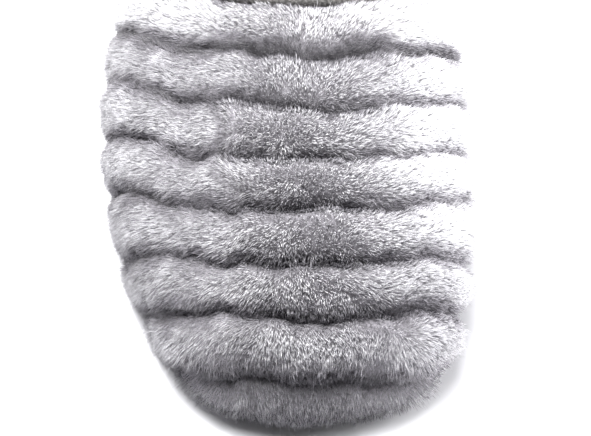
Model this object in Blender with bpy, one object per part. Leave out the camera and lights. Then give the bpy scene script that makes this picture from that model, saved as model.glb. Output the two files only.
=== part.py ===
"""Open-backed plush slipper for the right foot, made of four pieces.

The upper is a deep-pile vamp quilted in ribs that run across the foot. Its wall
follows a last, which is the shape of the room for the foot: sections across the
foot, set by a short table. The sole pieces share the last's outline.

Stations are measured backwards from the toe end of the last, heights up from the
floor, and x towards the inner side of the foot. Sizes are in millimetres until a
mesh is made, which is in metres.
"""

from math import pi

import bmesh
import bpy
import numpy as np

MM = 0.001

# Driving dimensions of the last
LAST_LENGTH = 245.0
HEM_HEIGHT = 3.0
FEATHER_HEIGHT = 10.0

# Wall of the upper: backing and pile, from the last outwards
WALL_AT_CREST = 11.5
WALL_AT_HEM = 9.5
GROOVE_DEPTH = 5.5
THROAT_RIB_SHARE = 0.2

# How the ribs lean back down the sides
SWEEP_DEPTH = 55.0

# Edge binding, a tape folded round a cord
BINDING_RADIUS = 2.8
BINDING_GAP = 0.35
BINDING_EDGE_GAP = 0.6
BINDING_EVENING = 3

# Sole pieces
SOLE_GAP = 0.7
OUTSOLE_THICKNESS = 8.0
HEEL_RISE = 4.0
HEEL_RISE_START = 120.0
HEEL_RISE_END = 185.0
TOE_SPRING = 3.0
TOE_SPRING_START = 48.0
ARCH_HEIGHT = 3.5
ARCH_START = 112.0
ARCH_END = 166.0
LUG_LENGTH = 8.0
LUG_PITCH = 11.0
LUG_DEPTH = 2.0
LUG_DRAFT = 0.6
LUG_FIRST = 12.0
LUG_LAST = 234.0
INSOLE_THICKNESS = 7.0
INSOLE_TOE_THICKNESS = 3.5
INSOLE_TAPER_END = 36.0
INSOLE_DISH = 1.6
STACK_GAP = 0.3

# Sections across the last. lateral and medial are the sole's edges, flare is how
# far the sides lean out past them, side is the height of the widest place, ridge
# and top are the place and height of the instep line.
LAST_COLUMNS = ("station", "lateral", "medial", "flare", "ridge", "side", "top")
LAST_ROWS = (
    (0.0, 6.0, 6.0, 0.0, 6.0, 16.0, 16.0),
    (4.0, -12.5, 26.5, 0.0, 6.0, 17.0, 26.5),
    (14.0, -22.0, 39.0, 0.0, 5.5, 18.5, 36.0),
    (41.0, -35.5, 46.0, 0.0, 4.5, 22.0, 51.5),
    (66.0, -43.5, 47.0, 0.0, 3.5, 25.0, 58.3),
    (98.0, -46.5, 46.0, 0.5, 2.5, 27.0, 63.8),
    (130.0, -45.0, 42.5, 2.0, 2.0, 28.0, 67.5),
    (165.0, -40.5, 37.5, 4.0, 1.5, 29.0, 70.5),
    (200.0, -36.0, 34.5, 5.0, 1.0, 30.0, 73.0),
    (226.0, -30.0, 30.5, 5.0, 1.0, 30.0, 74.0),
    (240.0, -18.0, 20.0, 5.0, 1.0, 30.0, 74.5),
    (LAST_LENGTH, 1.0, 1.0, 5.0, 1.0, 30.0, 75.0),
)

# Grooves between the ribs, from the throat edge to the toe's hem. station and
# height are where each one crosses the instep line, sweep is how fast it leans
# back from there.
RIB_COLUMNS = ("station", "height", "sweep")
RIB_ROWS = (
    (105.2, 64.8, 2.05),
    (100.3, 64.2, 1.75),
    (83.1, 61.6, 1.70),
    (65.6, 58.3, 1.65),
    (49.8, 54.3, 1.60),
    (34.9, 48.8, 1.55),
    (20.4, 40.7, 1.45),
    (9.3, 31.4, 1.40),
    (1.0, 18.2, 1.40),
    (0.0, HEM_HEIGHT, 1.40),
)
RIB_COUNT = len(RIB_ROWS) - 1

# Places along one rib, from groove to groove, where the upper's mesh has a row
RIB_STEPS = (0.0, 0.07, 0.22, 0.5, 0.78, 0.93)
TOE_RIB_STEPS = (0.0, 0.07, 0.2, 0.36, 0.52, 0.68, 0.8, 0.9, 0.97)
UPPER_COLUMNS = 25
SOLE_ROWS = 44
SOLE_END_TURN = 0.07


def smooth(place, knots, values):
    """Cubic Hermite curve through the values, with slopes from their neighbours."""
    knots = np.asarray(knots, float)
    values = np.asarray(values, float)
    place = np.clip(place, knots[0], knots[-1])
    gap = np.diff(knots)
    rise = np.diff(values) / gap
    slope = np.empty(len(knots))
    slope[1:-1] = (rise[:-1] * gap[1:] + rise[1:] * gap[:-1]) / (gap[1:] + gap[:-1])
    slope[0] = rise[0]
    slope[-1] = rise[-1]
    index = np.clip(np.searchsorted(knots, place, side="right") - 1, 0, len(gap) - 1)
    t = (place - knots[index]) / gap[index]
    start = (2 * t**3 - 3 * t**2 + 1) * values[index] + (t**3 - 2 * t**2 + t) * gap[index] * slope[index]
    end = (3 * t**2 - 2 * t**3) * values[index + 1] + (t**3 - t**2) * gap[index] * slope[index + 1]
    return start + end


def ease(place, start, end):
    """Rise from 0 to 1 between two places, level at both."""
    t = np.clip((place - start) / (end - start), 0.0, 1.0)
    return t * t * (3.0 - 2.0 * t)


def turn(station):
    """Angle that makes the last's toe and heel ends round: station = L (1 - cos) / 2."""
    return np.arccos(np.clip(1.0 - 2.0 * np.asarray(station) / LAST_LENGTH, -1.0, 1.0))


def last_column(name, station):
    """One column of the last's table at any station."""
    rows = np.array(LAST_ROWS)
    column = rows[:, LAST_COLUMNS.index(name)]
    return smooth(turn(station), turn(rows[:, 0]), column)


def rib_column(name, rib):
    """One column of the rib table. Rib 0 is the throat edge, RIB_COUNT the toe's hem."""
    column = [row[RIB_COLUMNS.index(name)] for row in RIB_ROWS]
    return smooth(rib, np.arange(len(RIB_ROWS)), column)


def last_field(x, station, height):
    """Negative inside the last: squared distance from the instep line, less the
    squared half width at that height. Above the widest place the section is half
    an ellipse; below it the side draws in by the flare. Squares keep their sign
    in front of the toe, so the field has a slope there too.
    """
    behind = np.abs(station)
    sign = np.where(station < 0.0, -1.0, 1.0)
    ridge = last_column("ridge", behind)
    side = last_column("side", behind)
    flare = last_column("flare", behind)
    top = last_column("top", behind)
    edge = np.where(x < ridge, ridge - last_column("lateral", behind), last_column("medial", behind) - ridge)
    half = sign * (edge + flare * ease(height, FEATHER_HEIGHT, side)) ** 2
    rise = sign * np.maximum(top - side, 1e-6) ** 2
    over = np.maximum(height - side, 0.0) ** 2
    return (x - ridge) ** 2 - half * (1.0 - over / rise)


def rib_sheet(rib, height):
    """Station of a rib's curved cutting sheet at a height: it leans back as it
    falls from the instep line, ever more steeply.
    """
    fall = rib_column("height", rib) - height
    lean = SWEEP_DEPTH * (1.0 - np.exp(-fall / SWEEP_DEPTH))
    return rib_column("station", rib) + rib_column("sweep", rib) * lean


def last_point(rib, angle):
    """Where the ray at an angle from upright, in a rib's sheet, leaves the last.
    Found by halving the reach of the ray from the hem's height.
    """
    rib, angle = np.broadcast_arrays(np.asarray(rib, float), np.asarray(angle, float))
    middle = last_column("ridge", rib_column("station", rib))
    near = np.zeros(rib.shape)
    far = np.full(rib.shape, 130.0)
    for _ in range(36):
        reach = (near + far) / 2.0
        height = HEM_HEIGHT + reach * np.cos(angle)
        station = rib_sheet(rib, height)
        inside = last_field(middle + reach * np.sin(angle), station, height) < 0.0
        near = np.where(inside, reach, near)
        far = np.where(inside, far, reach)
    height = HEM_HEIGHT + near * np.cos(angle)
    return np.stack((middle + near * np.sin(angle), rib_sheet(rib, height), height), axis=-1)


def last_normal(points):
    """Outward direction on the last, from differences of its field."""
    step = 0.05
    x, station, height = np.moveaxis(points, -1, 0)
    slope = np.stack(
        (
            last_field(x + step, station, height) - last_field(x - step, station, height),
            last_field(x, station + step, height) - last_field(x, station - step, height),
            last_field(x, station, height + step) - last_field(x, station, height - step),
        ),
        axis=-1,
    )
    return slope / np.linalg.norm(slope, axis=-1, keepdims=True)


def wall_thickness(points, rib, angle):
    """Backing and pile over the last: full at a rib's crest, less in its grooves,
    and tucked in towards the hem. The throat's rib is slight over the instep and
    full on the wings.
    """
    side = last_column("side", np.abs(points[..., 1]))
    down = np.clip((side - points[..., 2]) / (side - HEM_HEIGHT), 0.0, 1.0)
    crest = WALL_AT_CREST - (WALL_AT_CREST - WALL_AT_HEM) * down**2
    across = rib - np.floor(rib)
    roll = np.sqrt(4.0 * across * (1.0 - across))
    wing = THROAT_RIB_SHARE + (1.0 - THROAT_RIB_SHARE) * ease(np.abs(angle), 0.4, 1.2)
    roll = np.where(rib < 1.0, roll * wing, roll)
    return crest - GROOVE_DEPTH * (crest / WALL_AT_CREST) * (1.0 - roll)


def outsole_floor(station):
    """Height of the outsole's underside: toe spring, forefoot, arch and heel."""
    spring = TOE_SPRING * np.clip(1.0 - station / TOE_SPRING_START, 0.0, 1.0) ** 2
    middle = (ARCH_START + ARCH_END) / 2.0
    arch = ARCH_HEIGHT * ease(station, ARCH_START, middle) * (1.0 - ease(station, middle, ARCH_END))
    return spring + arch


def outsole_deck(station):
    """Height of the outsole's upper face, with the rise to the heel."""
    spring = TOE_SPRING * np.clip(1.0 - station / TOE_SPRING_START, 0.0, 1.0) ** 2
    return OUTSOLE_THICKNESS + spring + HEEL_RISE * ease(station, HEEL_RISE_START, HEEL_RISE_END)


def sole_edges(station):
    """Lateral and medial edge of a sole piece, which stands just inside the last."""
    full = (station - SOLE_GAP) * LAST_LENGTH / (LAST_LENGTH - 2.0 * SOLE_GAP)
    return last_column("lateral", full) + SOLE_GAP, last_column("medial", full) - SOLE_GAP


def sole_stations(extra=()):
    """Rows of a sole piece, close together at its round ends."""
    angles = np.linspace(SOLE_END_TURN, pi - SOLE_END_TURN, SOLE_ROWS)
    even = SOLE_GAP + (LAST_LENGTH - 2.0 * SOLE_GAP) * (1.0 - np.cos(angles)) / 2.0
    apart = [s for s in even if all(abs(s - other) > LUG_DRAFT for other in extra)]
    return np.array(sorted(apart + list(extra)))


def bend(across, edge):
    """Place between the edges for a share from 0 to 1, held back from both by a rounding."""
    return edge + across * (1.0 - 2.0 * edge)


def add_mesh(name, collection, points, faces):
    """Object from points in millimetres and their faces, turned outwards."""
    mesh = bpy.data.meshes.new(name)
    mesh.from_pydata((np.asarray(points) * MM).tolist(), [], faces)
    work = bmesh.new()
    work.from_mesh(mesh)
    bmesh.ops.recalc_face_normals(work, faces=work.faces)
    work.to_mesh(mesh)
    work.free()
    mesh.shade_smooth()
    mesh.set_sharp_from_angle(angle=pi / 5)
    result = bpy.data.objects.new(name, mesh)
    collection.objects.link(result)
    return result


def loft(name, collection, rings):
    """Closed solid through rings of equal count, with a flat cap at each end."""
    count, around = rings.shape[:2]
    faces = []
    for row in range(count - 1):
        for step in range(around):
            following = (step + 1) % around
            low = row * around
            faces.append((low + step, low + following, low + around + following, low + around + step))
    faces.append(tuple(range(around)))
    faces.append(tuple(range((count - 1) * around, count * around)))
    return add_mesh(name, collection, rings.reshape(-1, 3), faces)


def upper_ribs():
    """Rows of the upper in rib numbers, from the throat edge to the toe's hem."""
    rows = [number + step for number in range(RIB_COUNT - 1) for step in RIB_STEPS]
    rows += [RIB_COUNT - 1 + step for step in TOE_RIB_STEPS]
    return np.array(rows + [float(RIB_COUNT)])


def make_upper(collection):
    """Hollow vamp: the last's surface inside, the ribbed pile outside, open at the
    throat, the back and underneath. The last row closes to one point at the toe.
    """
    rib = upper_ribs()[:, None]
    angle = np.linspace(-pi / 2, pi / 2, UPPER_COLUMNS)[None, :]
    inner = last_point(rib, angle)
    rows, columns = inner.shape[:2]
    outer = inner + last_normal(inner) * wall_thickness(inner, rib, angle)[..., None]
    toe = (rows - 1) * columns
    count = toe + 1
    points = np.concatenate((inner.reshape(-1, 3)[:count], outer.reshape(-1, 3)[:count]))

    def corner(row, column):
        return toe if row == rows - 1 else row * columns + column

    faces = []
    for row in range(rows - 1):
        for column in range(columns - 1):
            around = (corner(row, column), corner(row, column + 1),
                      corner(row + 1, column + 1), corner(row + 1, column))
            around = tuple(dict.fromkeys(around))
            faces.append(around[::-1])
            faces.append(tuple(index + count for index in around))
    rim = [corner(0, column) for column in range(columns)]
    rim += [corner(row, columns - 1) for row in range(1, rows)]
    rim += [corner(row, 0) for row in range(rows - 2, -1, -1)]
    for first, second in zip(rim[:-1], rim[1:]):
        faces.append((first, second, second + count, first + count))
    return add_mesh("upper", collection, points, faces)


def make_binding(collection):
    """Corded tape round the throat edge, from the hem on one side to the other.
    It lies off the edge by its radius and a gap, outwards and backwards, and the
    direction of that step is evened out so that the tape runs without kinks.
    """
    angle = np.linspace(-pi / 2, pi / 2, UPPER_COLUMNS)
    edge = last_point(0.0, angle)
    normal = last_normal(edge)
    along = np.gradient(edge, axis=0)
    away = np.cross(along, normal)
    away /= np.linalg.norm(away, axis=1, keepdims=True)
    away *= np.sign(away[:, 1:2])
    step = normal * (BINDING_RADIUS + BINDING_GAP) + away * (BINDING_RADIUS + BINDING_EDGE_GAP)
    for _ in range(BINDING_EVENING):
        step[1:-1] = (step[:-2] + 2.0 * step[1:-1] + step[2:]) / 4.0
        step[0] = (step[0] + step[1]) / 2.0
        step[-1] = (step[-1] + step[-2]) / 2.0
    path = edge + step
    curve = bpy.data.curves.new("throat_binding", "CURVE")
    curve.dimensions = "3D"
    curve.bevel_depth = BINDING_RADIUS * MM
    curve.bevel_resolution = 2
    curve.use_fill_caps = True
    spline = curve.splines.new("POLY")
    spline.points.add(UPPER_COLUMNS - 1)
    for point, place in zip(spline.points, path * MM):
        point.co = (*place, 1.0)
    binding = bpy.data.objects.new("throat_binding", curve)
    collection.objects.link(binding)
    return binding


def make_outsole(collection):
    """Moulded sole: toe spring, arch and heel, with straight lugs across it."""
    edges = []
    for start in np.arange(LUG_FIRST, LUG_LAST, LUG_PITCH):
        slot = start + LUG_LENGTH
        edges += [slot, slot + LUG_DRAFT, start + LUG_PITCH - LUG_DRAFT, start + LUG_PITCH]
    station = sole_stations(edges)
    lateral, medial = sole_edges(station)
    floor = outsole_floor(station)
    deck = outsole_deck(station)
    phase = (station - LUG_FIRST) % LUG_PITCH
    phase = np.where(np.isclose(phase, LUG_PITCH), 0.0, phase)
    slotted = (station > LUG_FIRST + 0.5 * LUG_LENGTH) & (station < LUG_LAST)
    ramp = np.minimum(phase - LUG_LENGTH, LUG_PITCH - phase) / LUG_DRAFT
    slot = np.where(slotted, LUG_DEPTH * np.clip(ramp, 0.0, 1.0), 0.0)
    width = medial - lateral
    lower = np.minimum(2.0 / width, 0.3)
    upper = np.minimum(0.8 / width, 0.3)
    ring = []
    for share in np.linspace(0.0, 1.0, 5):
        ring.append((lateral + width * bend(share, lower), floor + slot))
    ring.append((medial, floor + LUG_DEPTH + 0.6))
    ring.append((medial, deck - 0.8))
    for share in np.linspace(1.0, 0.0, 4):
        ring.append((lateral + width * bend(share, upper), deck))
    ring.append((lateral, deck - 0.8))
    ring.append((lateral, floor + LUG_DEPTH + 0.6))
    rings = np.array([[(x, s, z) for x, s, z in zip(xs, station, zs)] for xs, zs in ring])
    return loft("outsole", collection, rings.transpose(1, 0, 2))


def make_insole(collection):
    """Padded footbed on the outsole, dished a little towards its middle."""
    station = sole_stations()
    lateral, medial = sole_edges(station)
    base = outsole_deck(station) + STACK_GAP
    grown = ease(station, 0.0, INSOLE_TAPER_END)
    thickness = INSOLE_TOE_THICKNESS + (INSOLE_THICKNESS - INSOLE_TOE_THICKNESS) * grown
    width = medial - lateral
    corner = np.minimum(2.4 / width, 0.3)
    ring = []
    for share in np.linspace(0.0, 1.0, 4):
        ring.append((lateral + width * bend(share, 0.3 * corner), base))
    ring.append((medial, base + 0.8))
    ring.append((medial, base + thickness - 1.6))
    dish = INSOLE_DISH * np.clip(width / 60.0, 0.0, 1.0)
    for share in np.linspace(1.0, 0.0, 8):
        crown = base + thickness - dish * (1.0 - (2.0 * share - 1.0) ** 2)
        ring.append((lateral + width * bend(share, corner), crown))
    ring.append((lateral, base + thickness - 1.6))
    ring.append((lateral, base + 0.8))
    rings = np.array([[(x, s, z) for x, s, z in zip(xs, station, zs)] for xs, zs in ring])
    return loft("insole", collection, rings.transpose(1, 0, 2))


def paint(target, name, colour, roughness):
    """Principled material with one colour and roughness, on the whole object."""
    material = bpy.data.materials.new(name)
    material.use_nodes = True
    shader = material.node_tree.nodes["Principled BSDF"]
    shader.inputs["Base Color"].default_value = (*colour, 1.0)
    shader.inputs["Roughness"].default_value = roughness
    shader.inputs["Metallic"].default_value = 0.0
    target.data.materials.append(material)


def centre_on_floor(pieces):
    """Move the pieces so that the origin is under the middle of their box."""
    bpy.context.view_layer.update()
    graph = bpy.context.evaluated_depsgraph_get()
    corners = []
    for piece in pieces:
        shape = piece.evaluated_get(graph)
        corners += [tuple(shape.matrix_world @ vertex.co) for vertex in shape.to_mesh().vertices]
        shape.to_mesh_clear()
    corners = np.array(corners)
    middle = (corners.min(axis=0) + corners.max(axis=0)) / 2.0
    for piece in pieces:
        piece.location = (-middle[0], -middle[1], -corners[:, 2].min())


def main():
    for old in list(bpy.data.objects):
        bpy.data.objects.remove(old, do_unlink=True)
    collection = bpy.data.collections.new("ribbed_plush_slipper")
    bpy.context.scene.collection.children.link(collection)

    outsole = make_outsole(collection)
    paint(outsole, "moulded_rubber", (0.16, 0.155, 0.17), 0.65)
    insole = make_insole(collection)
    paint(insole, "fleece_footbed", (0.50, 0.49, 0.53), 0.95)
    upper = make_upper(collection)
    paint(upper, "deep_pile_plush", (0.56, 0.55, 0.59), 1.0)
    binding = make_binding(collection)
    paint(binding, "woven_tape", (0.22, 0.20, 0.20), 0.85)
    centre_on_floor((outsole, insole, upper, binding))


main()
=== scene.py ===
"""Open-backed plush slipper for the right foot: its looks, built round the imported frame.

Sizes are in millimetres until a mesh is made. x runs towards the inner side of the
foot, y from toe to heel and z up. Stations are measured backwards from the toe end of
the last, which is the shape of the room for the foot.
"""
from functools import lru_cache
from math import pi
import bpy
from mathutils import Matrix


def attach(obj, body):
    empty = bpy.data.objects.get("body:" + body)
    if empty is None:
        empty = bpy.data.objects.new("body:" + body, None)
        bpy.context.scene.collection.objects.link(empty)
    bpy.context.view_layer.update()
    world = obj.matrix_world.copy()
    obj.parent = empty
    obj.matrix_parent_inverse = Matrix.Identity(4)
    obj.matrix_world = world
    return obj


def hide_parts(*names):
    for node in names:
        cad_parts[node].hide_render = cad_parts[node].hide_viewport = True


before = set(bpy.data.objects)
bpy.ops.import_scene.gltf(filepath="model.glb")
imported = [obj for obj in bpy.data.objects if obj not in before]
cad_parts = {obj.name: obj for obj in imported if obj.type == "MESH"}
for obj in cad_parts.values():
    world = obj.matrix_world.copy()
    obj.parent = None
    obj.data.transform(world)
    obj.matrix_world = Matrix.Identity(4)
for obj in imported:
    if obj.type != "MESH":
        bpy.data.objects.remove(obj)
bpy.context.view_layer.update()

from types import SimpleNamespace

import bmesh
import bpy
import numpy as np
from bpy.props import FloatProperty, FloatVectorProperty, IntProperty, PointerProperty
from bpy.types import Operator, Panel, PropertyGroup

bl_info = {
    "name": "Ribbed plush slipper",
    "version": (1, 0, 0),
    "blender": (4, 5, 0),
    "location": "3D View > Sidebar > Slipper",
    "description": "Makes the pile, lining, tape, footbed and sole finish of a plush slipper",
    "category": "Add Mesh",
}

MM = 0.001

# Size of the blocks of random numbers, which every noise repeats after so many cells
NOISE_CELLS = 32

# The last and the ribs, as the solid pieces have them
LAST_LENGTH = 245.0
MIDDLE_STATION = 116.415
HEM_HEIGHT = 3.0
FEATHER_HEIGHT = 10.0
WALL_AT_CREST = 11.5
WALL_AT_HEM = 9.5
THROAT_RIB_SHARE = 0.2
SWEEP_DEPTH = 55.0
BINDING_RADIUS = 2.8
BINDING_GAP = 0.35
BINDING_EDGE_GAP = 0.6

LAST_COLUMNS = ("station", "lateral", "medial", "flare", "ridge", "side", "top")
LAST_ROWS = np.array((
    (0.0, 6.0, 6.0, 0.0, 6.0, 16.0, 16.0),
    (4.0, -12.5, 26.5, 0.0, 6.0, 17.0, 26.5),
    (14.0, -22.0, 39.0, 0.0, 5.5, 18.5, 36.0),
    (41.0, -35.5, 46.0, 0.0, 4.5, 22.0, 51.5),
    (66.0, -43.5, 47.0, 0.0, 3.5, 25.0, 58.3),
    (98.0, -46.5, 46.0, 0.5, 2.5, 27.0, 63.8),
    (130.0, -45.0, 42.5, 2.0, 2.0, 28.0, 67.5),
    (165.0, -40.5, 37.5, 4.0, 1.5, 29.0, 70.5),
    (200.0, -36.0, 34.5, 5.0, 1.0, 30.0, 73.0),
    (226.0, -30.0, 30.5, 5.0, 1.0, 30.0, 74.0),
    (240.0, -18.0, 20.0, 5.0, 1.0, 30.0, 74.5),
    (LAST_LENGTH, 1.0, 1.0, 5.0, 1.0, 30.0, 75.0),
))

# Grooves between the ribs: where each crosses the instep line, and how it leans back
RIB_COLUMNS = ("station", "height", "sweep")
RIB_ROWS = np.array((
    (105.2, 64.8, 2.05),
    (100.3, 64.2, 1.75),
    (83.1, 61.6, 1.70),
    (65.6, 58.3, 1.65),
    (49.8, 54.3, 1.60),
    (34.9, 48.8, 1.55),
    (20.4, 40.7, 1.45),
    (9.3, 31.4, 1.40),
    (1.0, 18.2, 1.40),
    (0.0, HEM_HEIGHT, 1.40),
))
RIB_COUNT = len(RIB_ROWS) - 1
RIB_PITCH = 16.5              # mean mm from groove to groove

# How points on the last are found: a reach that is surely outside it, the number of
# halvings of that reach, and the step between points that a slope is taken from
FAR_OUTSIDE = 130.0
HALVINGS = 30
FIELD_STEP = 0.3

# Hand-sewn wander of each groove: how far it strays towards the toe, in mm, at
# places across the foot. One row for each row of the rib table.
WANDER_PLACES = np.arange(-58.0, 55.0, 8.0)
GROOVE_WANDER = np.array((
    (-2.0, -2.0, -2.0, -2.0, -1.6, -1.2, -0.6, 1.0, 0.8, 0.0, 0.0, -0.3, -0.5, -0.5, 0.0),
    (-4.5, -4.2, -3.8, -3.2, -2.2, -1.2, -2.3, -2.0, -0.7, -0.8, -3.3, -2.3, -1.0, 0.0, 0.5),
    (-6.0, -5.5, -2.8, 0.3, -0.5, -1.0, -0.9, -0.2, 1.8, 2.7, 0.7, 0.0, 1.7, 1.0, 2.0),
    (-5.5, -5.5, -2.8, 0.0, 0.3, -1.1, -0.4, 0.5, 1.1, 3.7, 2.5, 2.0, 2.9, 0.9, 1.7),
    (-3.0, -3.0, -1.5, 3.0, 3.6, 1.8, 2.0, 1.5, 1.6, 2.2, 2.2, 2.0, 2.9, 1.4, 1.4),
    (-1.5, -1.5, -0.8, 1.7, 2.9, 2.3, 1.1, 1.2, 0.7, 0.8, 2.0, 2.0, 2.0, 1.4, 1.7),
    (-1.0, -1.0, -1.0, -1.1, -0.2, 0.8, -0.5, 0.4, -0.4, -0.7, 0.2, 0.8, 0.2, -0.2, 0.6),
    (0.0, 0.0, 0.0, 0.3, -0.2, -1.3, 0.0, -0.4, -0.2, 0.5, -0.9, -0.8, -0.4, -0.8, -0.5),
    (0.0, 0.0, 0.0, 0.0, -0.5, -1.0, -1.5, -1.5, -1.5, -1.5, -1.5, -1.0, -0.5, 0.0, 0.0),
    (0.0,) * 15,
))

# The grooves are ragged too, by waves of so many mm. Waves here and below are given by
# their size in mm and their seed. Those of two grooves are read so far apart that they
# have nothing in common.
GROOVE_RAGGED = 1.15
RAGGED_WAVES = (6.0, 9)
GROOVES_APART = 47.0

# How the pile is combed: its lean over its height, towards the foot's inner side and
# towards the toe. One row for each rib number below, one column for each place across.
COMB_PLACES = (-46.0, -32.0, -18.0, -5.0, 10.0, 25.0, 45.0)
COMB_RIBS = np.array((0.0, 5.6, 6.5, 8.0, 8.7))
COMB_ACROSS = (
    (-1.0, -0.95, -0.7, -0.3, 0.0, 0.35, 0.8),
    (-1.0, -0.95, -0.7, -0.3, 0.0, 0.3, 0.8),
    (-0.9, -0.8, -0.6, -0.2, 0.05, 0.3, 0.7),
    (-0.6, -0.5, -0.35, -0.15, 0.05, 0.25, 0.6),
    (-0.4, -0.3, -0.15, 0.0, 0.0, 0.15, 0.4),
)
COMB_TOEWARD = (
    (0.6, 0.6, 0.55, 0.55, 0.5, 0.35, -0.1),
    (0.7, 0.6, 0.5, 0.45, 0.4, 0.3, 0.0),
    (0.7, 0.7, 0.6, 0.5, 0.4, 0.3, 0.1),
    (0.7, 0.8, 0.8, 0.8, 0.8, 0.7, 0.6),
    (0.5, 0.5, 0.5, 0.5, 0.5, 0.5, 0.5),
)

# Partings of the pile: place across and rib number at each end, and how strongly the
# pile falls away to both sides
PARTINGS = (
    (-17.6, 3.02, -17.0, 3.98, 0.8),
    (-19.0, 4.05, -9.0, 4.95, 0.8),
    (-30.0, 5.1, -22.0, 5.9, 0.5),
    (-8.5, 8.15, -6.5, 8.6, 0.4),
)
PARTING_REACH = 5.0           # mm to each side
PARTING_BEND = 1.1            # mm that its line strays from straight
PARTING_BENDS = 6.5           # radians of that sine from end to end
PARTING_PUSH = 1.7            # lean over height, times its strength
PARTING_GAP = 0.22            # share of the reach where the ground shows
PARTING_ENDS = (-0.2, 0.1)    # shares of its line where it sets in

# Whorls, where the pile falls away all round: place across, rib number, reach, strength
WHORLS = (
    (38.0, 7.4, 9.0, 0.9),
    (33.0, 3.45, 7.0, 0.5),
    (-36.0, 4.4, 8.0, 0.5),
)
WHORL_PUSH = 2.0

# The vamp's layers, outwards from the last, in mm
LINING_GAP = 0.15
LINING_SINK = 0.12            # how much closer the lining is to the last in a groove
LINING_THICKNESS = 1.0
BACKING_GAP = 0.05
BACKING_AT_CREST = 8.0
BACKING_AT_GROOVE = 0.9
PILE_AT_CREST = 3.8
PILE_AT_GROOVE = 1.5
GIRTH_RADIUS = 55.0           # turns angles round the last into mm of cloth

# Section of a rib, and the angles from upright, in radians, between which the throat's
# rib fills out
RIB_FULLNESS = 2.6
RIB_SKEW = 0.8
THROAT_WING = (0.4, 1.2)

# The grid that the layers are laid on. It ends just short of the last groove, so that
# every row belongs to a rib. Some layers take only every second or fourth line of it.
GRID_STEPS = 24
GRID_COLUMNS = 181
GRID_END = RIB_COUNT - 0.004
SECOND = 2
FOURTH = 4

# Waves and tufts that make the pile uneven: size in mm and seed
HEIGHT_WAVES = (15.0, 21)
SMALL_HEIGHT_WAVES = (6.0, 22)
STRAY_WAVES = (17.0, 11)
SMALL_STRAY_WAVES = (8.0, 12)
TONE_WAVES = (9.0, 15)
LOCKS = (4.2, 17)
FINE_TUFTS = (0.45, 14)
TUFT_SEED = 13
PILE_SEED = 100

# Zones of the pile across the foot: the two places in mm between which each sets in or
# leaves off. The outer side is below zero.
OUTER_RIM = (-45.0, -15.0)
OUTER_SIDE = (-30.0, -5.0)
MIDDLE_START = (-28.0, -8.0)
MIDDLE_END = (18.0, 38.0)
DEEP_SHADE = (-28.0, -12.0)
INNER_SHADE = (16.0, 34.0)
INNER_SIDE = (20.0, 38.0)
INNER_GROOVES = (20.0, 40.0)
INNER_RIM = (20.0, 45.0)
INNER_THICK = (22.0, 42.0)
INNER_WILD = (25.0, 50.0)

# Zones of the pile along the foot, in rib numbers from the throat to the toe's hem
DEEP_RIBS = 2.0
OUTER_EVEN_RIBS = (5.2, 6.0)
GROOVE_EVEN_RIBS = (5.5, 6.5)
QUIET_RIBS = (5.6, 6.3)
INNER_SHADE_RIBS = (5.6, 7.6)
TOE_LIVELY = (7.7, 8.1)
TOE_CALM = (7.8, 8.3)
TOE_LIT = (7.9, 8.3)
TOE_SHADE = (7.9, 8.4)
TOE_HEM = (8.2, 9.0)

# Zones inside a rib, in shares of the way from one groove to the next
RIB_ENTRY = (0.0, 0.3)
LOCK_OVERHANG = (0.3, 0.7)

# How loose the pile stands over the middle of the foot, by rib number, and the tuft
# numbers between which a fine tuft is less and less of a pit there
LOOSE_RIBS = (1.8, 2.3, 4.5, 5.3, 6.7, 7.3, 8.1)
LOOSE_SHARES = (0.15, 0.5, 0.5, 0.7, 0.5, 0.3, 0.1)
PITS = (0.15, 0.45)

# How the pile stands
SIDE_STRANDS = 0.55           # density on steep sides, as a share of that on top
SIDE_SLOPES = (0.1, 0.6)      # cosines of the angle from upright, from side to top
RIB_SLOPE_SHARE = 0.35        # how much it stands off the rib, and not off the last
STRAND_REACH = 1.12           # from root to tip, times its height
ROOT_SUNK = 0.5               # mm into the backing
FLOOR_CLEARANCE = 0.35        # mm under the lowest tips
KNEE = 0.72                   # share of a strand's length where it bends

# Heights of the strands, as shares of the height on a rib's round section
LENGTHS = (0.72, 0.36)        # the least, and the chance on top of it
HEIGHT_WAVE = 0.2
SMALL_HEIGHT_WAVE = 0.12
OUTER_HEIGHT_WAVE = 0.13      # more small waves on the outer side
TOE_CALMER = 0.6              # less of all waves on the toe's rib
HEM_SHORTER = 0.12
WILD_SHARE = 0.05             # share of the strands that stand out
WILD_INNER = 0.06             # more of them on the inner side
WILD_LENGTH = 1.4
LOCK_RISE = 0.35
PIT_DEPTH = 0.3
ENTRY_DROP = (0.25, 0.25, 0.4, 0.25, 0.25, 0.25, 0.25, 0.25, 0.25)    # rib by rib

# How far the pile leans astray, over its height
STRAY = 0.3
SMALL_STRAY = 0.3
OUTER_STRAY = 0.2             # more small strays on the outer side
LOOSE_STEADY = 0.35           # less of all strays where it is loose
LOCK_LEAN = 0.6               # full locks hang over the groove ahead
LEAN_CHANCE = 0.18
LOOSE_LEAN = 0.06             # less chance where it is loose

# Widths of the strands, as shares of the width that is set
WIDTHS = (0.75, 0.6)          # the least, and the chance on top of it
LOOSE_WIDER = 0.35
INNER_WIDER = 0.45

# Tones of the strands in full light, and how they spread by chance
TONE_MEAN = 0.5
LOOSE_TONE = 0.1
# painted light: the inner side, where the side light falls, is lighter
INNER_PAINTED_LIGHT = 0.05
FINE_TONE = 0.25
TUFT_TONE = 0.08
WAVE_TONE = 0.06
PIT_PAINTED_SHADE = 0.6                # share of tone that the painted shade in a pit takes away
TONE_SPREAD = 0.4
LOOSE_SPREAD = 0.3            # more where the pile is loose
INNER_SPREAD = 0.2            # less on the inner side
QUIET_SPREAD = 0.15           # less from the sixth rib on
TOE_SPREAD = 0.5              # more on the toe's rib
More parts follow.
